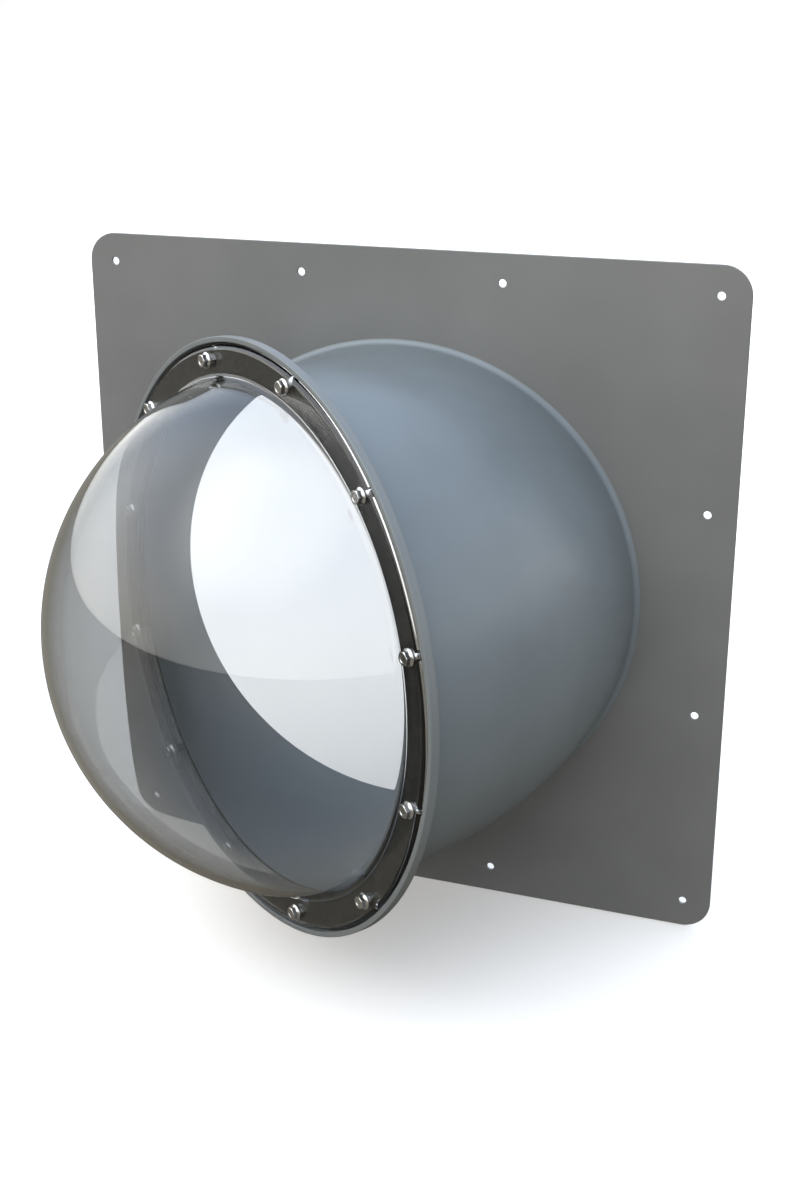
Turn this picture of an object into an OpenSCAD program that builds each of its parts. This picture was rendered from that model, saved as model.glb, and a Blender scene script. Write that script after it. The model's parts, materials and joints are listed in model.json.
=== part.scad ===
// Domed viewing window on a bent sleeve, fixed to a wall by a square plate.
// Origin: centre of the plate's back face. The wall is the XZ plane and
// the window looks out along -Y, turned towards -X. +Z is up.

/* [Wall plate] */
// Side length of the square wall plate
plate_size = 600; // [560:10:700]
// Thickness of the wall plate
plate_t = 3; // [2:0.5:6]
// Radius of the plate's corners
plate_corner_r = 25; // [10:1:40]
// Distance from the plate's edge to the screw holes
hole_inset = 25; // [20:1:30]
// Number of screw holes along each side
holes_per_side = 4; // [2:1:8]
// Diameter of the wall screw holes
wall_hole_d = 7; // [5:0.5:9]

/* [Sleeve] */
// Outer diameter of the sleeve
sleeve_d = 435; // [400:5:440]
// Sheet thickness of the sleeve
sleeve_wall = 3; // [2:0.5:4]
// Angle that the sleeve turns the window through
bend_angle = 35; // [20:1:45]
// Radius of the bend along the sleeve's centre line
bend_r = 285; // [280:5:340]
// Straight length in front of the plate before the bend starts
collar_len = 8; // [6:1:20]
// Straight length behind the ring flange after the bend ends
tail_len = 4; // [4:1:20]
// Leg length of the fillet weld at the plate
plate_weld_leg = 4.5; // [3:0.5:5]
// Leg length of the fillet weld behind the ring flange
ring_weld_leg = 3; // [2:0.5:4]

/* [Ring flange] */
// Outer diameter of the ring flange
ring_d = 501; // [495:1:520]
// Thickness of the flange's flat web
web_t = 3; // [2:0.5:4]
// Width of the raised lip
lip_w = 4.6; // [3:0.2:6]
// Height of the lip's front above the flange's back
lip_h = 11; // [9:0.5:12]
// Radial width of the chamfer on the flange's back edge
back_chamfer_w = 5.5; // [3:0.5:6]
// Depth of the chamfer on the flange's back edge
back_chamfer_h = 3.5; // [2:0.5:4]

/* [Clear dome] */
// Outer radius of the dome's sphere
dome_r = 226.3; // [224:0.1:228]
// Wall thickness of the dome
dome_wall = 5; // [4:0.5:6]
// Depth of the sphere's centre behind the lip's front face
dome_centre_depth = 59.2; // [58:0.2:60]
// Thickness of the dome's flange
dome_flange_t = 7; // [6:0.5:7]
// Outer diameter of the dome's flange
dome_flange_d = 487.8; // [486:0.2:489]
// Radius of the flange's rounded front edge
dome_edge_r = 5; // [4:0.5:5]
// Radius of the fillet between the dome and its flange
dome_foot_r = 6; // [4:0.5:6]

/* [Gasket] */
// Thickness of the gasket under the dome's flange
gasket_t = 2; // [1:0.5:2.5]
// Inner diameter of the gasket
gasket_inner_d = 435.6; // [435.4:0.2:437]
// Outer diameter of the gasket
gasket_outer_d = 491; // [489:0.5:491]

/* [Fasteners] */
// Number of bolts round the dome
bolt_count = 12; // [8:1:16]
// Diameter of the bolt circle
bolt_pcd = 465; // [463:1:466]
// Nominal bolt diameter
bolt_d = 6; // [5:1:6]
// Length of the bolt under its head
bolt_len = 16; // [14:1:20]
// Diameter of the flange under the bolt's head
head_flange_d = 14; // [12:0.5:14]
// Height of the bolt's head with its flange
head_h = 6; // [5:0.5:7]
// Width of the head and the nut across their flats
across_flats = 10; // [9:0.5:10]
// Clearance hole through the dome's flange
dome_hole_d = 8; // [7:0.5:8]
// Clearance hole through the gasket
gasket_hole_d = 7; // [6.5:0.5:8]
// Clearance hole through the ring flange
ring_hole_d = 6.6; // [6.4:0.2:7]
// Height of the weld nuts behind the ring flange
nut_h = 5; // [4:0.5:6]

/* [Hidden] */
$fn = 96;

// Surplus by which a cutting tool passes the face that it cuts
cut = 1;
// Depth by which joined shapes run into each other
overlap = 0.5;
// Step by which the sleeve's straight ends are dressed down to fit their holes
end_step = 0.1;
// Gap between a bolt and the threads of its nut
thread_gap = 0.02;

sleeve_r = sleeve_d / 2;
end_r = sleeve_r - end_step;
bore_r = sleeve_r;
plate_edge_chamfer = 0.8;
plate_inner = plate_size - 2 * plate_corner_r;
hole_pitch = (plate_size - 2 * hole_inset) / (holes_per_side - 1);
bend_start_y = -plate_t - collar_len;

// Heights above the ring flange's back face
gasket_z = web_t;
dome_flange_z = gasket_z + gasket_t;
dome_top_z = dome_flange_z + dome_flange_t;
dome_centre_z = lip_h - dome_centre_depth;

lip_chamfer = 0.6;
ring_r = ring_d / 2;
lip_inner_r = ring_r - lip_w;
dome_flange_r = dome_flange_d / 2;
dome_back_edge_r = 1.5;
dome_inner_r = dome_r - dome_wall;
dome_mouth_r = sqrt(pow(dome_inner_r, 2) - pow(dome_flange_z - dome_centre_z, 2));
foot_r = sqrt(pow(dome_r + dome_foot_r, 2) - pow(dome_top_z + dome_foot_r - dome_centre_z, 2));
// How far along the line from the sphere's centre to the foot's centre the foot's section ends
foot_share = (dome_r - overlap) / (dome_r + dome_foot_r);

first_bolt_angle = 180 / bolt_count;
hex_d = across_flats / cos(30);
hex_top_share = 0.95;
hex_top_d = across_flats * hex_top_share;
hex_chamfer_angle = 30;
head_flange_t = 1.2;
head_flange_land = 0.5;
head_cone_h = 1.3;
head_recess_d = 6.5;
head_recess_h = 0.4;
bolt_tip_chamfer = 0.8;
nut_bore_r = bolt_d / 2 + thread_gap;

module on_ring(height = 0) {
    translate([bend_r * (cos(bend_angle) - 1), bend_start_y - bend_r * sin(bend_angle), 0])
        rotate([90, 0, -bend_angle])
            translate([0, 0, tail_len + height])
                children();
}

module along_wall_normal(start_y) {
    translate([0, start_y, 0])
        rotate([90, 0, 0])
            children();
}

module at_bolts() {
    for (i = [0 : bolt_count - 1])
        rotate(first_bolt_angle + i * 360 / bolt_count)
            translate([bolt_pcd / 2, 0, 0])
                rotate(-first_bolt_angle - i * 360 / bolt_count)
                    children();
}

module tube(h, outer_r, inner_r) {
    difference() {
        cylinder(h = h, r = outer_r);
        translate([0, 0, -cut])
            cylinder(h = h + 2 * cut, r = inner_r);
    }
}

module bolt_holes(d, from_z, to_z) {
    at_bolts()
        translate([0, 0, from_z - cut])
            cylinder(h = to_z - from_z + 2 * cut, d = d);
}

module hexagon_prism(h) {
    intersection() {
        cylinder(h = h, d = hex_d, $fn = 6);
        cylinder(h = h, d1 = hex_top_d + 2 * h / tan(hex_chamfer_angle), d2 = hex_top_d);
    }
}

// ---- wall plate ----

// One arm of the plate, with its two outer front edges bevelled. Two crossed
// arms and a bevelled disc at each corner make up the whole plate.
module plate_arm() {
    half = plate_size / 2;
    low_z = plate_t - plate_edge_chamfer;
    rotate([90, 0, 0])
        linear_extrude(plate_inner, center = true)
            polygon([[-half, 0], [half, 0], [half, low_z], [half - plate_edge_chamfer, plate_t],
                [plate_edge_chamfer - half, plate_t], [-half, low_z]]);
}

module plate_corner_disc() {
    low_z = plate_t - plate_edge_chamfer;
    cylinder(h = low_z, r = plate_corner_r);
    translate([0, 0, low_z])
        cylinder(h = plate_edge_chamfer, r1 = plate_corner_r, r2 = plate_corner_r - plate_edge_chamfer);
}

module wall_screw_holes() {
    half = plate_size / 2 - hole_inset;
    for (i = [0 : holes_per_side - 1], j = [0 : holes_per_side - 1])
        if (i == 0 || j == 0 || i == holes_per_side - 1 || j == holes_per_side - 1)
            translate([i * hole_pitch - half, j * hole_pitch - half, -cut])
                cylinder(h = plate_t + 2 * cut, d = wall_hole_d);
}

module wall_plate() {
    color([0.48, 0.48, 0.46])
        along_wall_normal(0)
            difference() {
                union() {
                    plate_arm();
                    rotate(90)
                        plate_arm();
                    for (x = [-1, 1], y = [-1, 1])
                        translate([x * plate_inner / 2, y * plate_inner / 2, 0])
                            plate_corner_disc();
                }
                translate([0, 0, -cut])
                    cylinder(h = plate_t + 2 * cut, r = bore_r);
                wall_screw_holes();
            }
}

// ---- sleeve and its welds ----

// A straight end of the sleeve, slightly thinner than the bend on both faces.
module sleeve_end(h) {
    tube(h, end_r, sleeve_r - sleeve_wall + end_step);
}

module elbow_sleeve() {
    color([0.5, 0.56, 0.6]) {
        along_wall_normal(0)
            sleeve_end(plate_t + collar_len);
        translate([-bend_r, bend_start_y, 0])
            rotate(-bend_angle)
                rotate_extrude(angle = bend_angle)
                    translate([bend_r, 0])
                        difference() {
                            circle(r = sleeve_r);
                            circle(r = sleeve_r - sleeve_wall);
                        }
        on_ring(-tail_len)
            sleeve_end(tail_len + web_t);
    }
}

// A ring of weld in the corner between a tube and the face at z = 0.
module weld_bead(tube_r, leg) {
    rotate_extrude()
        polygon([[tube_r, 0], [tube_r + leg, 0], [tube_r, leg]]);
}

module plate_weld() {
    color([0.46, 0.48, 0.48])
        along_wall_normal(-plate_t)
            weld_bead(end_r, plate_weld_leg);
}

module ring_weld() {
    color([0.46, 0.48, 0.48])
        on_ring()
            mirror([0, 0, 1])
                weld_bead(end_r, ring_weld_leg);
}

// ---- ring flange ----

module ring_flange() {
    color([0.47, 0.5, 0.5])
        on_ring()
            difference() {
                rotate_extrude()
                    polygon([
                        [bore_r, 0],
                        [ring_r - back_chamfer_w, 0],
                        [ring_r, back_chamfer_h],
                        [ring_r, lip_h - lip_chamfer],
                        [ring_r - lip_chamfer, lip_h],
                        [lip_inner_r + lip_chamfer, lip_h],
                        [lip_inner_r, lip_h - lip_chamfer],
                        [lip_inner_r, web_t],
                        [bore_r, web_t]
                    ]);
                bolt_holes(ring_hole_d, 0, web_t);
            }
}

// ---- gasket and clear dome ----

module dome_gasket() {
    color([0.05, 0.05, 0.05])
        on_ring(gasket_z)
            difference() {
                tube(gasket_t, gasket_outer_d / 2, gasket_inner_d / 2);
                bolt_holes(gasket_hole_d, 0, gasket_t);
            }
}

// A flat flange with a wide round on its front edge and a small one on its
// back edge. The wide round stops where the small one starts.
module dome_flange_section() {
    inner_x = dome_mouth_r + overlap;
    edge_x = dome_flange_r - dome_edge_r;
    back_edge_x = dome_flange_r - dome_back_edge_r;
    side_h = dome_flange_t - dome_edge_r - dome_back_edge_r;
    translate([inner_x, dome_flange_z])
        square([edge_x - inner_x, dome_flange_t]);
    translate([inner_x, dome_flange_z])
        square([back_edge_x - inner_x, dome_flange_t - dome_edge_r]);
    translate([edge_x, dome_flange_z + dome_back_edge_r])
        square([dome_edge_r, side_h]);
    translate([edge_x, dome_top_z - dome_edge_r])
        intersection() {
            circle(r = dome_edge_r);
            translate([-overlap, -side_h])
                square([dome_edge_r + overlap, dome_edge_r + side_h]);
        }
    translate([back_edge_x, dome_flange_z + dome_back_edge_r])
        circle(r = dome_back_edge_r);
}

module dome_foot_section() {
    foot_z = dome_top_z + dome_foot_r;
    difference() {
        polygon([
            [foot_r * foot_share, dome_top_z - overlap],
            [foot_r, dome_top_z - overlap],
            [foot_r, foot_z],
            [foot_r * foot_share, dome_centre_z + (foot_z - dome_centre_z) * foot_share]
        ]);
        translate([foot_r, foot_z])
            circle(r = dome_foot_r);
    }
}

module dome_shell_section() {
    intersection() {
        translate([0, dome_centre_z])
            difference() {
                circle(r = dome_r, $fn = 180);
                circle(r = dome_inner_r, $fn = 180);
            }
        translate([0, dome_flange_z])
            square([dome_r, dome_r]);
    }
}

module clear_dome() {
    color([0.85, 0.92, 0.96, 0.4])
        on_ring()
            difference() {
                rotate_extrude($fn = 180) {
                    dome_shell_section();
                    dome_flange_section();
                    dome_foot_section();
                }
                bolt_holes(dome_hole_d, dome_flange_z, dome_top_z);
            }
}

// ---- fasteners ----

module flange_bolt() {
    difference() {
        union() {
            cylinder(h = head_flange_t, d = head_flange_d);
            translate([0, 0, head_flange_t])
                cylinder(h = head_cone_h, d1 = head_flange_d - 2 * head_flange_land, d2 = across_flats);
            hexagon_prism(head_h);
        }
        translate([0, 0, head_h - head_recess_h])
            cylinder(h = head_recess_h + cut, d = head_recess_d);
    }
    translate([0, 0, -bolt_len])
        cylinder(h = bolt_tip_chamfer, d1 = bolt_d - 2 * bolt_tip_chamfer, d2 = bolt_d);
    translate([0, 0, bolt_tip_chamfer - bolt_len])
        cylinder(h = bolt_len - bolt_tip_chamfer, d = bolt_d);
}

module dome_bolts() {
    color([0.78, 0.79, 0.8])
        on_ring(dome_top_z)
            at_bolts()
                flange_bolt();
}

module weld_nut() {
    difference() {
        hexagon_prism(nut_h);
        translate([0, 0, -cut])
            cylinder(h = nut_h + 2 * cut, r = nut_bore_r);
    }
}

module weld_nuts() {
    color([0.47, 0.5, 0.5])
        on_ring()
            at_bolts()
                mirror([0, 0, 1])
                    weld_nut();
}

wall_plate();
elbow_sleeve();
plate_weld();
ring_flange();
ring_weld();
weld_nuts();
dome_gasket();
clear_dome();
dome_bolts();
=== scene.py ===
"""Looks of the domed viewing window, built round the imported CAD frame.

Lengths are in metres unless a name ends in _DEG. The wall is the XZ plane, the
window looks out along -Y and is turned towards -X, and +Z is up.
"""

import json
import math
import random

import bmesh
import bpy
from mathutils import Matrix, Vector


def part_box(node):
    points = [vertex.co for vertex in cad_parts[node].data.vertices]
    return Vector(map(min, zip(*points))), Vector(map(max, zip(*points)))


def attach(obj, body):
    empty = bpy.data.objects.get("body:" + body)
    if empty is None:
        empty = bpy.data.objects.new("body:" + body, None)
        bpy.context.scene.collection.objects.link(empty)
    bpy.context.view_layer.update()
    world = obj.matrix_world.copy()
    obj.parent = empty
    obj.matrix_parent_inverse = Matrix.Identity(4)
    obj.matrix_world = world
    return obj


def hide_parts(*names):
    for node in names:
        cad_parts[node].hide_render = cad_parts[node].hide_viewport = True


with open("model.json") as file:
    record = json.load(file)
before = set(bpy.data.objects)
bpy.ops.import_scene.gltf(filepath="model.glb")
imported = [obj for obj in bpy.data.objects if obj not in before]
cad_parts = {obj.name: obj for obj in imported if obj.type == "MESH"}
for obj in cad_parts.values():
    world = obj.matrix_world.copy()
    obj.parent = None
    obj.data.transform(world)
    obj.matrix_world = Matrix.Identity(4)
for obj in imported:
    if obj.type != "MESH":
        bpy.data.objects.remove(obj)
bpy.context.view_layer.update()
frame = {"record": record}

MM = 0.001

# Sleeve
SLEEVE_R = 217.5 * MM
SLEEVE_WALL = 3 * MM
END_STEP = 0.1 * MM
BEND_DEG = 35
BEND_R = 285 * MM
COLLAR_LEN = 8 * MM
TAIL_LEN = 4 * MM
PLATE_WELD_LEG = 4.5 * MM
RING_WELD_LEG = 3 * MM
# Centre and radius of a weld's concave face, as shares of its leg
WELD_CENTRE_SHARE = 1.35
WELD_RADIUS_SHARE = 1.37
WELD_ARC_DEG = (195, 255)
WELD_ARC_STEPS = 8
BEND_STEPS = 56

# Ring flange, heights above its back face
RING_R = 250.5 * MM
WEB_T = 3 * MM
LIP_W = 4.6 * MM
LIP_H = 11 * MM
BACK_CHAMFER_W = 5.5 * MM
BACK_CHAMFER_H = 3.5 * MM
RING_EDGE_R = 0.9 * MM

# Gasket and clear dome
GASKET_T = 2 * MM
GASKET_INNER_R = 217.8 * MM
GASKET_OUTER_R = 245.5 * MM
GASKET_EDGE_R = 0.3 * MM
GASKET_EDGE_STEPS = 2
DOME_R = 226.3 * MM
DOME_WALL = 5 * MM
DOME_CENTRE_Z = LIP_H - 59.2 * MM
DOME_FLANGE_T = 7 * MM
DOME_FLANGE_R = 243.9 * MM
DOME_EDGE_R = 5 * MM
DOME_FOOT_R = 6 * MM
DOME_BACK_EDGE_R = 1.5 * MM

# Fasteners
BOLT_COUNT = 12
BOLT_CIRCLE_R = 232.5 * MM
BOLT_R = 3 * MM
BOLT_LEN = 16 * MM
BOLT_TIP_H = 0.8 * MM
BOLT_TIP_STEP = 0.2 * MM
THREAD_PITCH = 1 * MM
THREAD_DEPTH = 0.55 * MM
# How much of each thread's crest is flat: above 1, the ridge is cut off
THREAD_CREST = 1.25
ACROSS_FLATS = 10 * MM
HEX_CORNER_R = ACROSS_FLATS / 2 / math.cos(math.radians(30))
HEX_CHAMFER_DEG = 30
HEX_TOP_SHARE = 0.95
HEAD_H = 6 * MM
HEAD_FLANGE_R = 7 * MM
HEAD_FLANGE_T = 1.2 * MM
HEAD_FLANGE_EDGE_R = 0.35 * MM
HEAD_CONE_H = 1.3 * MM
HEAD_SEAT_R = BOLT_R + MM
HEAD_DISH_R = 3.25 * MM
HEAD_DISH_H = 0.4 * MM
HEAD_DISH_WALL = 0.25 * MM
DOME_HOLE_R = 4 * MM
GASKET_HOLE_R = 3.5 * MM
RING_HOLE_R = 3.3 * MM
NUT_H = 5 * MM
NUT_BORE_R = BOLT_R + 0.02 * MM
NUT_COUNTERSINK = 0.4 * MM

ROUND_SEGMENTS = 256
HEAD_SEGMENTS = 72
THREAD_SEGMENTS = 24
SMALLEST_GAP = 0.0001 * MM
# Edges shorter than this are drilling leftovers
SMALLEST_EDGE = 0.004 * MM
# Film of air between the dome's flange and the gasket and bolt heads on it
AIR_GAP = 0.03 * MM
# Points closer than this are one point where the plate's curve is filled
CURVE_MERGE = 1e-6
# Largest share of a side that one rounded corner may use up
CORNER_REACH = 0.45
HOLE_SEGMENTS = 32
DRILLED_SHARP_DEG = 30
# Band of each flat that holds the bolt holes, from its inner to its outer radius
HOLE_BAND = (BOLT_CIRCLE_R - 6 * MM, BOLT_CIRCLE_R + 5.5 * MM)
GASKET_Z = WEB_T
DOME_FLANGE_Z = GASKET_Z + GASKET_T
DOME_TOP_Z = DOME_FLANGE_Z + DOME_FLANGE_T

# Paints and other finishes, as linear colours
SLEEVE_COLOUR = (0.145, 0.165, 0.174)
RING_COLOUR = (0.15, 0.16, 0.16)
PLATE_COLOUR = (0.158, 0.156, 0.148)
RUBBER_DARK = (0.028, 0.025, 0.021)
RUBBER_DUSTY = (0.055, 0.049, 0.041)
ACRYLIC_TINT_LOW = (0.5, 0.505, 0.505)
ACRYLIC_TINT_HIGH = (0.52, 0.525, 0.52)
ACRYLIC_SHADOW = (0.72, 0.73, 0.735)
STEEL_COLOUR = (0.58, 0.57, 0.55)

# Studio: the floor's and the surround's colours and radiances
FLOOR_HALF = 150.0
FLOOR_DROP = 1 * MM
FLOOR_PALE = (0.76, 0.73, 0.69)
FLOOR_GLOW = (0.25, 0.24, 0.225)
FLOOR_BOUNCE = (0.17, 0.148, 0.115)
SKY_LOW = (1.48, 1.5, 1.48)
SKY_HIGH = (1.1, 1.36, 1.78)
# Height on the unit sphere at which the sky reaches its upper colour
SKY_HIGH_Z = 0.75
BACKDROP = (1.0, 1.0, 1.0)
# Share of a lamp's half angle that is at full strength
LAMP_CORE_SHARE = 0.35
# Patches of light: azimuth and elevation and half angle in degrees, then radiance
SOFT_LAMPS = (
    (-35, 5, 80, (0.5, 0.46, 0.4)),
    (-70, 35, 50, (1.4, 1.35, 1.25)),
    (-20, 60, 40, (1.6, 1.6, 1.5)),
    (140, 20, 40, (0.3, 0.3, 0.3)),
)

plate_low, plate_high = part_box("wall_plate")
PLATE_T = plate_high.y - plate_low.y
PLATE_CORNER_R = 25 * MM
PLATE_CORNER_STEPS = 16
PLATE_EDGE_BREAK = 0.5 * MM
SCREW_HOLE_SEGMENTS = 40
BEND_START_Y = -PLATE_T - COLLAR_LEN

# Places: the wall's normal as +Z, and the ring flange's back face
WALL = Matrix.Rotation(math.radians(90), 4, "X")
RING = (
    Matrix.Translation(
        (
            BEND_R * (math.cos(math.radians(BEND_DEG)) - 1),
            BEND_START_Y - BEND_R * math.sin(math.radians(BEND_DEG)),
            0,
        )
    )
    @ Matrix.Rotation(math.radians(-BEND_DEG), 4, "Z")
    @ WALL
    @ Matrix.Translation((0, 0, TAIL_LEN))
)


# ---- mesh helpers ----


def arc(centre, radius, start_deg, end_deg, steps):
    """Points of a circular arc in a plane, as (x, z) pairs."""
    points = []
    for i in range(steps + 1):
        angle = math.radians(start_deg + (end_deg - start_deg) * i / steps)
        points.append((centre[0] + radius * math.cos(angle), centre[1] + radius * math.sin(angle)))
    return points


def rounded(points, radius, steps=4):
    """A closed outline with each corner turned into a short curve."""
    out = []
    count = len(points)
    for i, point in enumerate(points):
        here = Vector(point)
        before = Vector(points[i - 1]) - here
        after = Vector(points[(i + 1) % count]) - here
        reach = min(radius, before.length * CORNER_REACH, after.length * CORNER_REACH)
        start = here + before.normalized() * reach
        end = here + after.normalized() * reach
        for k in range(steps + 1):
            t = k / steps
            out.append(tuple(start * (1 - t) ** 2 + here * (2 * t * (1 - t)) + end * t * t))
    return out


def face_outward(bm):
    """Turns the faces of one closed skin outward, which its signed volume proves."""
    bmesh.ops.recalc_face_normals(bm, faces=bm.faces)
    if bm.calc_volume(signed=True) < 0:
        bmesh.ops.reverse_faces(bm, faces=bm.faces)


def new_object(name, mesh_maker, place=None, smooth_deg=40, single_skin=True):
    """A shaded object from a bmesh that mesh_maker fills, put in place in its vertices."""
    bm = bmesh.new()
    mesh_maker(bm)
    if place is not None:
        bm.transform(place)
    if single_skin:
        bmesh.ops.remove_doubles(bm, verts=bm.verts, dist=SMALLEST_GAP)
        face_outward(bm)
    mesh = bpy.data.meshes.new(name)
    bm.to_mesh(mesh)
    bm.free()
    mesh.shade_smooth()
    mesh.set_sharp_from_angle(angle=math.radians(smooth_deg))
    obj = bpy.data.objects.new(name, mesh)
    bpy.context.scene.collection.objects.link(obj)
    return obj


def flatten_flats(obj):
    """Leans each vertex normal to its largest face, so flats stay flat beside rounds."""
    modifier = obj.modifiers.new("weighted_normals", "WEIGHTED_NORMAL")
    modifier.weight = 100
    modifier.keep_sharp = True


def round_loop(bm, radius, z, count):
    """A ring of vertices round Z."""
    loop = []
    for i in range(count):
        angle = 2 * math.pi * i / count
        loop.append(bm.verts.new((radius * math.cos(angle), radius * math.sin(angle), z)))
    return loop


def skin(bm, loops):
    """Joins each ring of vertices to the next with a band of faces."""
    for low, high in zip(loops, loops[1:]):
        for i in range(len(low)):
            j = (i + 1) % len(low)
            bm.faces.new((low[i], low[j], high[j], high[i]))


def lathe(bm, outline, segments=ROUND_SEGMENTS, place=None):
    """Turns a closed (radius, z) outline once round Z."""
    rings = []
    for radius, z in outline:
        if radius == 0:
            rings.append([bm.verts.new((0, 0, z))])
        else:
            rings.append(round_loop(bm, radius, z, segments))
    made = [v for ring in rings for v in ring]
    for k, ring in enumerate(rings):
        other = rings[(k + 1) % len(rings)]
        if len(ring) == 1 and len(other) == 1:
            continue
        for i in range(segments):
            j = (i + 1) % segments
            if len(ring) == 1:
                bm.faces.new((ring[0], other[j], other[i]))
            elif len(other) == 1:
                bm.faces.new((ring[i], ring[j], other[0]))
            else:
                bm.faces.new((ring[i], ring[j], other[j], other[i]))
    if place is not None:
        bmesh.ops.transform(bm, matrix=place, verts=made)


def bolt_places(height):
    """Where each bolt's axis meets a given height above the ring flange's back."""
    for i in range(BOLT_COUNT):
        angle = math.radians(180 / BOLT_COUNT + i * 360 / BOLT_COUNT)
        yield Matrix.Translation(
            (BOLT_CIRCLE_R * math.cos(angle), BOLT_CIRCLE_R * math.sin(angle), height)
        )


def drill(obj, radius, from_z, to_z):
    """Cuts the bolt holes through obj, which lies in the ring flange's frame."""

    def cutters(bm):
        for place in bolt_places(0):
            outline = [(0, from_z - MM), (radius, from_z - MM), (radius, to_z + MM), (0, to_z + MM)]
            lathe(bm, outline, segments=HOLE_SEGMENTS, place=place)

    cutter = new_object(obj.name + "_cutter", cutters, RING)
    modifier = obj.modifiers.new("holes", "BOOLEAN")
    modifier.object = cutter
    modifier.solver = "EXACT"
    depsgraph = bpy.context.evaluated_depsgraph_get()
    drilled = bpy.data.meshes.new_from_object(obj.evaluated_get(depsgraph))
    bm = bmesh.new()
    bm.from_mesh(drilled)
    bmesh.ops.remove_doubles(bm, verts=bm.verts, dist=SMALLEST_EDGE)
    bmesh.ops.dissolve_degenerate(bm, edges=bm.edges, dist=SMALLEST_EDGE)
    bm.to_mesh(drilled)
    bm.free()
    obj.modifiers.clear()
    obj.data = drilled
    obj.data.shade_smooth()
    obj.data.set_sharp_from_angle(angle=math.radians(DRILLED_SHARP_DEG))
    bpy.data.objects.remove(cutter)


def finish_piece(obj, node, material):
    """Dresses a piece, hangs it on the part and lets it stand for its CAD node."""
    obj.data.materials.clear()
    obj.data.materials.append(material)
    flatten_flats(obj)
    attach(obj, "root")
    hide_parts(node)
    return obj


# ---- material helpers ----


class Shader:
    """A short way to lay out one node material."""

    def __init__(self, name):
        self.material = bpy.data.materials.new(name)
        self.material.use_nodes = True
        self.tree = self.material.node_tree
        self.tree.nodes.clear()
        self.output = self.tree.nodes.new("ShaderNodeOutputMaterial")
        self.bsdf = self.tree.nodes.new("ShaderNodeBsdfPrincipled")
        self.link(self.bsdf.outputs["BSDF"], self.output.inputs["Surface"])
        self.position = self.tree.nodes.new("ShaderNodeTexCoord").outputs["Object"]

    def link(self, source, target):
        self.tree.links.new(source, target)

    def set(self, **values):
        for name, value in values.items():
            self.bsdf.inputs[name.replace("_", " ")].default_value = value

    def noise(self, scale, detail=3.0, roughness=0.5, stretch=None):
        node = self.tree.nodes.new("ShaderNodeTexNoise")
        node.inputs["Scale"].default_value = scale
        node.inputs["Detail"].default_value = detail
        node.inputs["Roughness"].default_value = roughness
        source = self.position
        if stretch:
            mapping = self.tree.nodes.new("ShaderNodeMapping")
            mapping.inputs["Scale"].default_value = stretch
            self.link(source, mapping.inputs["Vector"])
            source = mapping.outputs["Vector"]
        self.link(source, node.inputs["Vector"])
        return node.outputs["Fac"]

    def remap(self, source, low, high, from_low=0.35, from_high=0.65):
        node = self.tree.nodes.new("ShaderNodeMapRange")
        node.inputs["From Min"].default_value = from_low
        node.inputs["From Max"].default_value = from_high
        node.inputs["To Min"].default_value = low
        node.inputs["To Max"].default_value = high
        self.link(source, node.inputs["Value"])
        return node.outputs["Result"]

    def mix(self, factor, low_colour, high_colour):
        node = self.tree.nodes.new("ShaderNodeMix")
        node.data_type = "RGBA"
        self.link(factor, node.inputs["Factor"])
        for socket, colour in ((node.inputs["A"], low_colour), (node.inputs["B"], high_colour)):
            if isinstance(colour, tuple):
                socket.default_value = (*colour, 1)
            else:
                self.link(colour, socket)
        return node.outputs["Result"]

    def bump(self, heights, distance, strength=1.0):
        """A bump from one height, or several stacked one on the next."""
        normal = None
        for height in heights:
            node = self.tree.nodes.new("ShaderNodeBump")
            node.inputs["Distance"].default_value = distance
            node.inputs["Strength"].default_value = strength
            self.link(height, node.inputs["Height"])
            if normal is not None:
                self.link(normal, node.inputs["Normal"])
            normal = node.outputs["Normal"]
        self.link(normal, self.bsdf.inputs["Normal"])


def paint(name, colour, roughness):
    """Powder-coat paint: a fine orange peel, faint clouding and handling marks."""
    s = Shader(name)
    clouding = s.remap(s.noise(scale=9, detail=4), low=0, high=1)
    darker = tuple(c * 0.93 for c in colour)
    lighter = tuple(min(1, c * 1.05) for c in colour)
    s.link(s.mix(clouding, darker, lighter), s.bsdf.inputs["Base Color"])
    marks = s.noise(scale=22, detail=5, roughness=0.6)
    smudges = s.remap(marks, low=roughness - 0.04, high=roughness + 0.06)
    s.link(smudges, s.bsdf.inputs["Roughness"])
    s.set(IOR=1.5)
    orange_peel = s.noise(scale=420, detail=2)
    grain = s.noise(scale=2600, detail=2)
    s.bump([orange_peel, grain], distance=0.00006, strength=0.35)
    return s.material


def rubber():
    """Matt black sheet rubber with a fine grain and a little dust."""
    s = Shader("gasket_rubber")
    specks = s.noise(scale=60, detail=6, roughness=0.65)
    dust = s.remap(specks, low=0, high=1, from_low=0.45, from_high=0.8)
    s.link(s.mix(dust, RUBBER_DARK, RUBBER_DUSTY), s.bsdf.inputs["Base Color"])
    sheen = s.remap(s.noise(scale=150), low=0.55, high=0.75)
    s.link(sheen, s.bsdf.inputs["Roughness"])
    s.bump([s.noise(scale=1800, detail=3)], distance=0.0001, strength=0.5)
    return s.material


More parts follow.
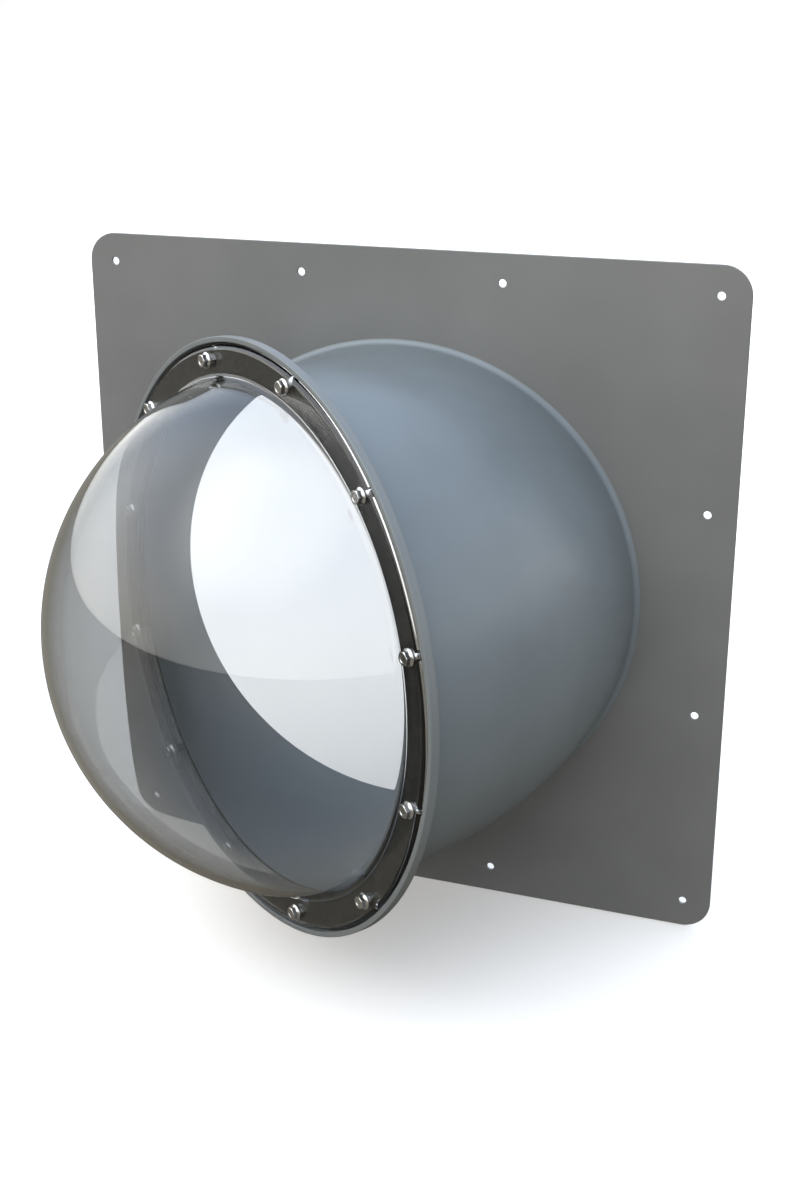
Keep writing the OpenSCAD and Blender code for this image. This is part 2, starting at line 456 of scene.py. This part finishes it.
def acrylic():
    """Clear polished acrylic that lets lamps through."""
    s = Shader("clear_acrylic")
    s.set(Transmission_Weight=1.0, IOR=1.49)
    shade = s.remap(s.noise(scale=6, detail=3), low=0, high=1)
    s.link(s.mix(shade, ACRYLIC_TINT_LOW, ACRYLIC_TINT_HIGH), s.bsdf.inputs["Base Color"])
    wear = s.remap(s.noise(scale=35, detail=5, roughness=0.6), low=0.0, high=0.004)
    s.link(wear, s.bsdf.inputs["Roughness"])
    s.bump([s.noise(scale=14, detail=2)], distance=0.0002, strength=0.02)
    lamp = s.tree.nodes.new("ShaderNodeLightPath")
    clear = s.tree.nodes.new("ShaderNodeBsdfTransparent")
    clear.inputs["Color"].default_value = (*ACRYLIC_SHADOW, 1)
    both = s.tree.nodes.new("ShaderNodeMixShader")
    s.link(lamp.outputs["Is Shadow Ray"], both.inputs["Fac"])
    s.link(s.bsdf.outputs["BSDF"], both.inputs[1])
    s.link(clear.outputs["BSDF"], both.inputs[2])
    s.link(both.outputs["Shader"], s.output.inputs["Surface"])
    return s.material


def stainless(name, colour, roughness):
    """Bright stainless steel with faint machining marks and dull patches."""
    s = Shader(name)
    tarnish = s.remap(s.noise(scale=400, detail=4), low=0, high=1)
    darker = tuple(c * 0.8 for c in colour)
    s.link(s.mix(tarnish, darker, colour), s.bsdf.inputs["Base Color"])
    s.set(Metallic=1.0)
    dull = s.remap(s.noise(scale=900, detail=3), low=roughness - 0.06, high=roughness + 0.08)
    s.link(dull, s.bsdf.inputs["Roughness"])
    machining = s.noise(scale=3000, detail=2, stretch=(1, 1, 6))
    s.bump([machining], distance=0.00003, strength=0.4)
    return s.material


# ---- wall plate, sleeve, welds and ring flange ----


def circle_spline(curve, centre, radius, points):
    """Adds a closed circle to a flat curve."""
    spline = curve.splines.new("POLY")
    spline.points.add(points - 1)
    for i in range(points):
        angle = 2 * math.pi * i / points
        spline.points[i].co = (
            centre[0] + radius * math.cos(angle),
            centre[1] + radius * math.sin(angle),
            0,
            1,
        )
    spline.use_cyclic_u = True


def outline_spline(curve, outline):
    """Adds a closed outline of straight sides to a flat curve."""
    spline = curve.splines.new("POLY")
    spline.points.add(len(outline) - 1)
    for point, (x, y) in zip(spline.points, outline):
        point.co = (x, y, 0, 1)
    spline.use_cyclic_u = True


def screw_hole_places():
    """Centres of the wall screw holes, from the record's three hole patterns."""
    for mount in frame["record"]["mounts"]:
        if mount["kind"] != "bolt_pattern":
            continue
        dims = mount["dims"]
        for sx in (-0.5, 0.5):
            for sz in (-0.5, 0.5):
                centre = (sx * dims["spacing_x_mm"] * MM, sz * dims["spacing_y_mm"] * MM)
                yield centre, dims["hole_r_mm"] * MM


def make_wall_plate(material):
    """Square plate with round corners, its opening and screw holes, and broken edges."""
    inner = plate_high.x - PLATE_CORNER_R
    outline = []
    for sx, sz, start in ((1, 1, 0), (-1, 1, 90), (-1, -1, 180), (1, -1, 270)):
        centre = (sx * inner, sz * inner)
        outline += arc(centre, PLATE_CORNER_R, start, start + 90, PLATE_CORNER_STEPS)
    curve = bpy.data.curves.new("wall_plate_outline", "CURVE")
    curve.dimensions = "2D"
    curve.fill_mode = "BOTH"
    outline_spline(curve, outline)
    circle_spline(curve, (0, 0), SLEEVE_R, ROUND_SEGMENTS)
    for centre, radius in screw_hole_places():
        circle_spline(curve, centre, radius, SCREW_HOLE_SEGMENTS)
    curve.extrude = PLATE_T / 2 - PLATE_EDGE_BREAK
    curve.bevel_depth = PLATE_EDGE_BREAK
    curve.bevel_resolution = 2
    curve.offset = -PLATE_EDGE_BREAK
    template = bpy.data.objects.new("wall_plate_template", curve)
    bpy.context.scene.collection.objects.link(template)
    depsgraph = bpy.context.evaluated_depsgraph_get()
    flat = bpy.data.meshes.new_from_object(template.evaluated_get(depsgraph))
    bpy.data.objects.remove(template)

    def fill(bm):
        bm.from_mesh(flat)
        bmesh.ops.remove_doubles(bm, verts=bm.verts, dist=CURVE_MERGE)

    place = Matrix.Translation((0, -PLATE_T / 2, 0)) @ WALL
    plate = new_object("wall_plate_piece", fill, place, smooth_deg=50)
    return finish_piece(plate, "wall_plate", material)


def sleeve_stations():
    """Places along the sleeve's centre line, with how much each wall is dressed down there."""
    yield WALL, END_STEP
    yield Matrix.Translation((0, BEND_START_Y, 0)) @ WALL, END_STEP
    pivot = Matrix.Translation((-BEND_R, BEND_START_Y, 0))
    back = Matrix.Translation((BEND_R, 0, 0))
    for i in range(BEND_STEPS + 1):
        turn = Matrix.Rotation(-math.radians(BEND_DEG) * i / BEND_STEPS, 4, "Z")
        yield pivot @ turn @ back @ WALL, 0.0
    yield RING @ Matrix.Translation((0, 0, -TAIL_LEN)), END_STEP
    yield RING @ Matrix.Translation((0, 0, WEB_T)), END_STEP


def make_elbow_sleeve(material):
    """Bent tube with a real wall, swept ring by ring along its centre line."""

    def fill(bm):
        skins = []
        for base_r, sign in ((SLEEVE_R, -1), (SLEEVE_R - SLEEVE_WALL, 1)):
            loops = []
            for place, step in sleeve_stations():
                loop = round_loop(bm, base_r + sign * step, 0, ROUND_SEGMENTS)
                bmesh.ops.transform(bm, matrix=place, verts=loop)
                loops.append(loop)
            skin(bm, loops)
            skins.append(loops)
        outside, inside = skins
        skin(bm, [outside[0], inside[0]])
        skin(bm, [outside[-1], inside[-1]])

    sleeve = new_object("elbow_sleeve_piece", fill, smooth_deg=30)
    return finish_piece(sleeve, "elbow_sleeve", material)


def weld_outline(leg):
    """Section of a smooth fillet weld with a concave face."""
    tube_r = SLEEVE_R - END_STEP
    centre = (tube_r + leg * WELD_CENTRE_SHARE, leg * WELD_CENTRE_SHARE)
    face = arc(centre, leg * WELD_RADIUS_SHARE, *WELD_ARC_DEG, WELD_ARC_STEPS)
    return [(tube_r, 0), (tube_r, leg), *face, (tube_r + leg, 0)]


def make_plate_weld(material):
    outline = weld_outline(PLATE_WELD_LEG)
    place = Matrix.Translation((0, -PLATE_T, 0)) @ WALL
    weld = new_object("plate_weld_piece", lambda bm: lathe(bm, outline), place, 60)
    return finish_piece(weld, "plate_weld", material)


def make_ring_weld(material):
    outline = weld_outline(RING_WELD_LEG)
    mirror = Matrix.Scale(-1, 4, (0, 0, 1))
    weld = new_object("ring_weld_piece", lambda bm: lathe(bm, outline), RING @ mirror, 60)
    return finish_piece(weld, "ring_weld", material)


def make_ring_flange(material):
    """Turned ring with a flat web, a raised lip and softly broken edges."""
    lip_inner_r = RING_R - LIP_W
    corners = [
        (SLEEVE_R, 0),
        *[(r, 0) for r in HOLE_BAND],
        (RING_R - BACK_CHAMFER_W, 0),
        (RING_R, BACK_CHAMFER_H),
        (RING_R, LIP_H),
        (lip_inner_r, LIP_H),
        (lip_inner_r, WEB_T),
        *[(r, WEB_T) for r in reversed(HOLE_BAND)],
        (SLEEVE_R, WEB_T),
    ]
    outline = rounded(corners, RING_EDGE_R)
    ring = new_object("ring_flange_piece", lambda bm: lathe(bm, outline), RING)
    drill(ring, RING_HOLE_R, 0, WEB_T)
    return finish_piece(ring, "ring_flange", material)


# ---- gasket and clear dome ----


def make_dome_gasket(material):
    top_z = GASKET_Z + GASKET_T - AIR_GAP
    corners = [
        (GASKET_INNER_R, GASKET_Z),
        *[(r, GASKET_Z) for r in HOLE_BAND],
        (GASKET_OUTER_R, GASKET_Z),
        (GASKET_OUTER_R, top_z),
        *[(r, top_z) for r in reversed(HOLE_BAND)],
        (GASKET_INNER_R, top_z),
    ]
    outline = rounded(corners, GASKET_EDGE_R, GASKET_EDGE_STEPS)
    gasket = new_object("dome_gasket_piece", lambda bm: lathe(bm, outline), RING)
    drill(gasket, GASKET_HOLE_R, GASKET_Z, GASKET_Z + GASKET_T)
    return finish_piece(gasket, "dome_gasket", material)


def dome_outline():
    """Section of the blown dome, its drawn-out foot and its flange with a polished edge."""
    inner_r = DOME_R - DOME_WALL
    foot_z = DOME_TOP_Z + DOME_FOOT_R - DOME_CENTRE_Z
    foot_x = math.sqrt((DOME_R + DOME_FOOT_R) ** 2 - foot_z**2)
    foot_deg = math.degrees(math.atan2(foot_z, foot_x))
    mouth_deg = math.degrees(math.asin((DOME_FLANGE_Z - DOME_CENTRE_Z) / inner_r))
    centre = (0, DOME_CENTRE_Z)
    outside = arc(centre, DOME_R, 90, foot_deg, 96)
    foot = arc((foot_x, DOME_TOP_Z + DOME_FOOT_R), DOME_FOOT_R, 180 + foot_deg, 270, 10)
    edge_x = DOME_FLANGE_R - DOME_EDGE_R
    edge = arc((edge_x, DOME_TOP_Z - DOME_EDGE_R), DOME_EDGE_R, 90, 0, 12)
    back_x = DOME_FLANGE_R - DOME_BACK_EDGE_R
    back = arc((back_x, DOME_FLANGE_Z + DOME_BACK_EDGE_R), DOME_BACK_EDGE_R, 0, -90, 6)
    inside = arc(centre, inner_r, mouth_deg, 90, 96)
    outside[0] = (0, outside[0][1])
    inside[-1] = (0, inside[-1][1])
    front_flat = [(r, DOME_TOP_Z) for r in HOLE_BAND]
    back_flat = [(r, DOME_FLANGE_Z) for r in reversed(HOLE_BAND)]
    return outside + foot[1:] + front_flat + edge + back + back_flat + inside


def make_clear_dome(material):
    dome = new_object("clear_dome_piece", lambda bm: lathe(bm, dome_outline()), RING, 35)
    drill(dome, DOME_HOLE_R, DOME_FLANGE_Z, DOME_TOP_Z)
    return finish_piece(dome, "clear_dome", material)


# ---- fasteners ----


def hexagon_loop(bm, z, largest_r):
    """A hexagonal ring of vertices, cut back where it would pass a largest radius."""
    loop = []
    for i in range(HEAD_SEGMENTS):
        angle = 2 * math.pi * i / HEAD_SEGMENTS
        off_flat = angle % (math.pi / 3) - math.pi / 6
        radius = min(ACROSS_FLATS / 2 / math.cos(off_flat), largest_r)
        loop.append(bm.verts.new((radius * math.cos(angle), radius * math.sin(angle), z)))
    return loop


def chamfered_hexagon_top(bm, height):
    """Rings up the top of a hexagon whose corners are cut back by a 30 degree cone."""
    slope = math.tan(math.radians(HEX_CHAMFER_DEG))
    top_r = HEX_TOP_SHARE * ACROSS_FLATS / 2
    steps = 6
    loops = []
    for k in range(steps + 1):
        cone_r = HEX_CORNER_R + (top_r - HEX_CORNER_R) * k / steps
        loops.append(hexagon_loop(bm, height - (cone_r - top_r) * slope, cone_r))
    return loops


def head_flange_loops(bm):
    """Rings from the bolt's seat round its flange and up the cone to the hexagon."""
    cone_top = HEAD_FLANGE_T + HEAD_CONE_H
    steps = 3
    outline = rounded(
        [
            (BOLT_R, AIR_GAP),
            (HEAD_FLANGE_R, AIR_GAP),
            (HEAD_FLANGE_R, HEAD_FLANGE_T),
            (ACROSS_FLATS / 2, cone_top),
        ],
        HEAD_FLANGE_EDGE_R,
        steps,
    )
    outer_corners = outline[steps + 1 : 3 * (steps + 1)]
    loops = [round_loop(bm, HEAD_SEAT_R, AIR_GAP, HEAD_SEGMENTS)]
    loops += [round_loop(bm, radius, z, HEAD_SEGMENTS) for radius, z in outer_corners]
    meeting = hexagon_loop(bm, 0, HEAD_FLANGE_R)
    for vert in meeting:
        radius = math.hypot(vert.co.x, vert.co.y)
        share = (HEAD_FLANGE_R - radius) / (HEAD_FLANGE_R - ACROSS_FLATS / 2)
        vert.co.z = HEAD_FLANGE_T + HEAD_CONE_H * share
    return loops + [meeting]


def dish_loops(bm):
    """Rings down into the shallow round dish in the top of a bolt's head."""
    floor_z = HEAD_H - HEAD_DISH_H
    return [
        round_loop(bm, HEAD_DISH_R, HEAD_H, HEAD_SEGMENTS),
        round_loop(bm, HEAD_DISH_R - HEAD_DISH_WALL, floor_z, HEAD_SEGMENTS),
        round_loop(bm, HEAD_DISH_R / 2, floor_z, HEAD_SEGMENTS),
    ]


def threaded_shank(bm):
    """A shank with a rolled helical thread. Gives back the ring of vertices at its seat."""
    root_r = BOLT_R - THREAD_DEPTH
    length = BOLT_LEN - BOLT_TIP_H
    steps_per_pitch = 4
    count = int(length / THREAD_PITCH) * steps_per_pitch
    loops = [round_loop(bm, BOLT_R, AIR_GAP, THREAD_SEGMENTS)]
    for k in range(1, count + 1):
        z = -length * k / count
        ring = []
        for i in range(THREAD_SEGMENTS):
            turn = i / THREAD_SEGMENTS
            phase = (z / THREAD_PITCH + turn) % 1.0
            height = min(1.0, (1 - abs(phase * 2 - 1)) * THREAD_CREST)
            radius = root_r + THREAD_DEPTH * height
            angle = 2 * math.pi * turn
            ring.append(bm.verts.new((radius * math.cos(angle), radius * math.sin(angle), z)))
        loops.append(ring)
    loops.append(round_loop(bm, root_r - BOLT_TIP_STEP, -BOLT_LEN, THREAD_SEGMENTS))
    skin(bm, loops)
    bm.faces.new(loops[-1])
    return loops[0]


def flange_bolt(bm):
    """One hexagon flange bolt in a single skin, with its seat at z = 0 and its shank along -Z."""
    seat = threaded_shank(bm)
    loops = head_flange_loops(bm) + chamfered_hexagon_top(bm, HEAD_H) + dish_loops(bm)
    skin(bm, loops)
    bm.faces.new(loops[-1])
    rim = loops[0]
    share = HEAD_SEGMENTS // THREAD_SEGMENTS
    for i in range(THREAD_SEGMENTS):
        outer = [rim[(i * share + k) % HEAD_SEGMENTS] for k in range(share + 1)]
        bm.faces.new((seat[(i + 1) % THREAD_SEGMENTS], seat[i], *outer))


def place_copies(name, maker, height, flip=False, seed=1):
    """One object that holds a copy of a fastener at each bolt, each turned its own way."""
    template = bmesh.new()
    maker(template)
    face_outward(template)
    single = bpy.data.meshes.new(name + "_single")
    template.to_mesh(single)
    template.free()
    turns = random.Random(seed)

    def fill(bm):
        for place in bolt_places(height):
            spin = Matrix.Rotation(turns.uniform(0, math.pi / 3), 4, "Z")
            start = len(bm.verts)
            bm.from_mesh(single)
            bm.verts.ensure_lookup_table()
            side = Matrix.Rotation(math.pi, 4, "X") if flip else Matrix.Identity(4)
            bmesh.ops.transform(bm, matrix=place @ side @ spin, verts=bm.verts[start:])

    return new_object(name, fill, RING, 30, single_skin=False)


def make_dome_bolts(material):
    bolts = place_copies("dome_bolts_piece", flange_bolt, DOME_TOP_Z, seed=4)
    return finish_piece(bolts, "dome_bolts", material)


def weld_nut(bm):
    """A hexagon weld nut with its seat at z = 0, bored and countersunk at its free end."""
    bottom = hexagon_loop(bm, 0, HEX_CORNER_R)
    loops = [bottom, *chamfered_hexagon_top(bm, NUT_H)]
    for radius, z in (
        (NUT_BORE_R + NUT_COUNTERSINK, NUT_H),
        (NUT_BORE_R, NUT_H - NUT_COUNTERSINK),
        (NUT_BORE_R, 0),
    ):
        loops.append(round_loop(bm, radius, z, HEAD_SEGMENTS))
    skin(bm, [*loops, bottom])


def make_weld_nuts(material):
    nuts = place_copies("weld_nuts_piece", weld_nut, 0, flip=True, seed=6)
    return finish_piece(nuts, "weld_nuts", material)


# ---- studio ----


def seen_directly(tree):
    """1 where the eye sees a surface, straight or through glass, and 0 where light bounces."""
    path = tree.nodes.new("ShaderNodeLightPath")
    bounces = tree.nodes.new("ShaderNodeMath")
    bounces.operation = "ADD"
    tree.links.new(path.outputs["Diffuse Depth"], bounces.inputs[0])
    tree.links.new(path.outputs["Glossy Depth"], bounces.inputs[1])
    direct = tree.nodes.new("ShaderNodeMath")
    direct.operation = "LESS_THAN"
    direct.inputs[1].default_value = 0.5
    tree.links.new(bounces.outputs["Value"], direct.inputs[0])
    return direct.outputs["Value"]


def make_floor():
    """A plain pale floor under the plate, which bounces only a little light back up."""
    bm = bmesh.new()
    bmesh.ops.create_grid(bm, x_segments=4, y_segments=4, size=FLOOR_HALF)
    mesh = bpy.data.meshes.new("floor")
    bm.to_mesh(mesh)
    bm.free()
    floor = bpy.data.objects.new("floor", mesh)
    floor.location = (0, 0, plate_low.z - FLOOR_DROP)
    bpy.context.scene.collection.objects.link(floor)
    material = bpy.data.materials.new("pale_floor")
    material.use_nodes = True
    tree = material.node_tree
    tree.nodes.clear()
    output = tree.nodes.new("ShaderNodeOutputMaterial")
    both = tree.nodes.new("ShaderNodeMixShader")
    tree.links.new(seen_directly(tree), both.inputs["Fac"])
    bounce = tree.nodes.new("ShaderNodeBsdfDiffuse")
    bounce.inputs["Color"].default_value = (*FLOOR_BOUNCE, 1)
    tree.links.new(bounce.outputs["BSDF"], both.inputs[1])
    pale = tree.nodes.new("ShaderNodeBsdfDiffuse")
    pale.inputs["Color"].default_value = (*FLOOR_PALE, 1)
    glow = tree.nodes.new("ShaderNodeEmission")
    glow.inputs["Color"].default_value = (*FLOOR_GLOW, 1)
    brightened = tree.nodes.new("ShaderNodeAddShader")
    tree.links.new(pale.outputs["BSDF"], brightened.inputs[0])
    tree.links.new(glow.outputs["Emission"], brightened.inputs[1])
    tree.links.new(brightened.outputs["Shader"], both.inputs[2])
    tree.links.new(both.outputs["Shader"], output.inputs["Surface"])
    mesh.materials.append(material)


def direction(azimuth_deg, elevation_deg):
    """A unit vector. Azimuth 0 points along -Y, and 90 along +X."""
    a, e = math.radians(azimuth_deg), math.radians(elevation_deg)
    return (math.sin(a) * math.cos(e), -math.cos(a) * math.cos(e), math.sin(e))


def add_soft_lamp(tree, coordinates, total, lamp):
    """Adds one soft-edged patch of light to the studio's surround."""
    azimuth, elevation, half_angle, colour = lamp
    dot = tree.nodes.new("ShaderNodeVectorMath")
    dot.operation = "DOT_PRODUCT"
    dot.inputs[1].default_value = direction(azimuth, elevation)
    tree.links.new(coordinates, dot.inputs[0])
    falloff = tree.nodes.new("ShaderNodeMapRange")
    falloff.interpolation_type = "SMOOTHSTEP"
    falloff.inputs["From Min"].default_value = math.cos(math.radians(half_angle))
    falloff.inputs["From Max"].default_value = math.cos(math.radians(half_angle * LAMP_CORE_SHARE))
    tree.links.new(dot.outputs["Value"], falloff.inputs["Value"])
    scaled = tree.nodes.new("ShaderNodeVectorMath")
    scaled.operation = "MULTIPLY_ADD"
    scaled.inputs[1].default_value = colour
    tree.links.new(falloff.outputs["Result"], scaled.inputs[0])
    tree.links.new(total, scaled.inputs[2])
    return scaled.outputs["Vector"]


def make_world():
    """A soft studio surround: pale to the eye, and in what it lights a cool sky with soft lamps."""
    world = bpy.data.worlds.new("studio")
    bpy.context.scene.world = world
    world.use_nodes = True
    tree = world.node_tree
    tree.nodes.clear()
    coordinates = tree.nodes.new("ShaderNodeTexCoord").outputs["Generated"]
    split = tree.nodes.new("ShaderNodeSeparateXYZ")
    tree.links.new(coordinates, split.inputs["Vector"])
    height = tree.nodes.new("ShaderNodeMapRange")
    height.inputs["From Max"].default_value = SKY_HIGH_Z
    height.interpolation_type = "SMOOTHSTEP"
    tree.links.new(split.outputs["Z"], height.inputs["Value"])
    sky = tree.nodes.new("ShaderNodeMix")
    sky.data_type = "VECTOR"
    sky.inputs["A"].default_value = SKY_LOW
    sky.inputs["B"].default_value = SKY_HIGH
    tree.links.new(height.outputs["Result"], sky.inputs["Factor"])
    total = sky.outputs["Result"]
    for lamp in SOFT_LAMPS:
        total = add_soft_lamp(tree, coordinates, total, lamp)
    seen = tree.nodes.new("ShaderNodeMix")
    seen.data_type = "VECTOR"
    seen.inputs["B"].default_value = BACKDROP
    tree.links.new(seen_directly(tree), seen.inputs["Factor"])
    tree.links.new(total, seen.inputs["A"])
    background = tree.nodes.new("ShaderNodeBackground")
    tree.links.new(seen.outputs["Result"], background.inputs["Color"])
    output = tree.nodes.new("ShaderNodeOutputWorld")
    tree.links.new(background.outputs["Background"], output.inputs["Surface"])


def make_camera():
    """The camera stands to the right of the window, a little above it, and looks down at it."""
    camera = bpy.data.cameras.new("camera")
    camera.sensor_width = 36.0
    camera.lens = 50.26
    obj = bpy.data.objects.new("camera", camera)
    obj.location = (0.4999, -1.3539, 0.5010)
    obj.rotation_euler = (math.radians(70.186), 0, math.radians(20.290))
    bpy.context.scene.collection.objects.link(obj)
    bpy.context.scene.camera = obj


def main():
    make_camera()
    make_world()
    make_floor()
    bpy.context.scene.view_settings.view_transform = "Standard"

    sleeve_paint = paint("sleeve_paint", SLEEVE_COLOUR, roughness=0.34)
    ring_paint = paint("ring_paint", RING_COLOUR, roughness=0.36)

    make_wall_plate(paint("plate_paint", PLATE_COLOUR, roughness=0.45))
    make_elbow_sleeve(sleeve_paint)
    make_plate_weld(sleeve_paint)
    make_ring_flange(ring_paint)
    make_ring_weld(ring_paint)
    make_dome_gasket(rubber())
    make_clear_dome(acrylic())
    make_dome_bolts(stainless("stainless", STEEL_COLOUR, roughness=0.15))
    make_weld_nuts(ring_paint)


main()
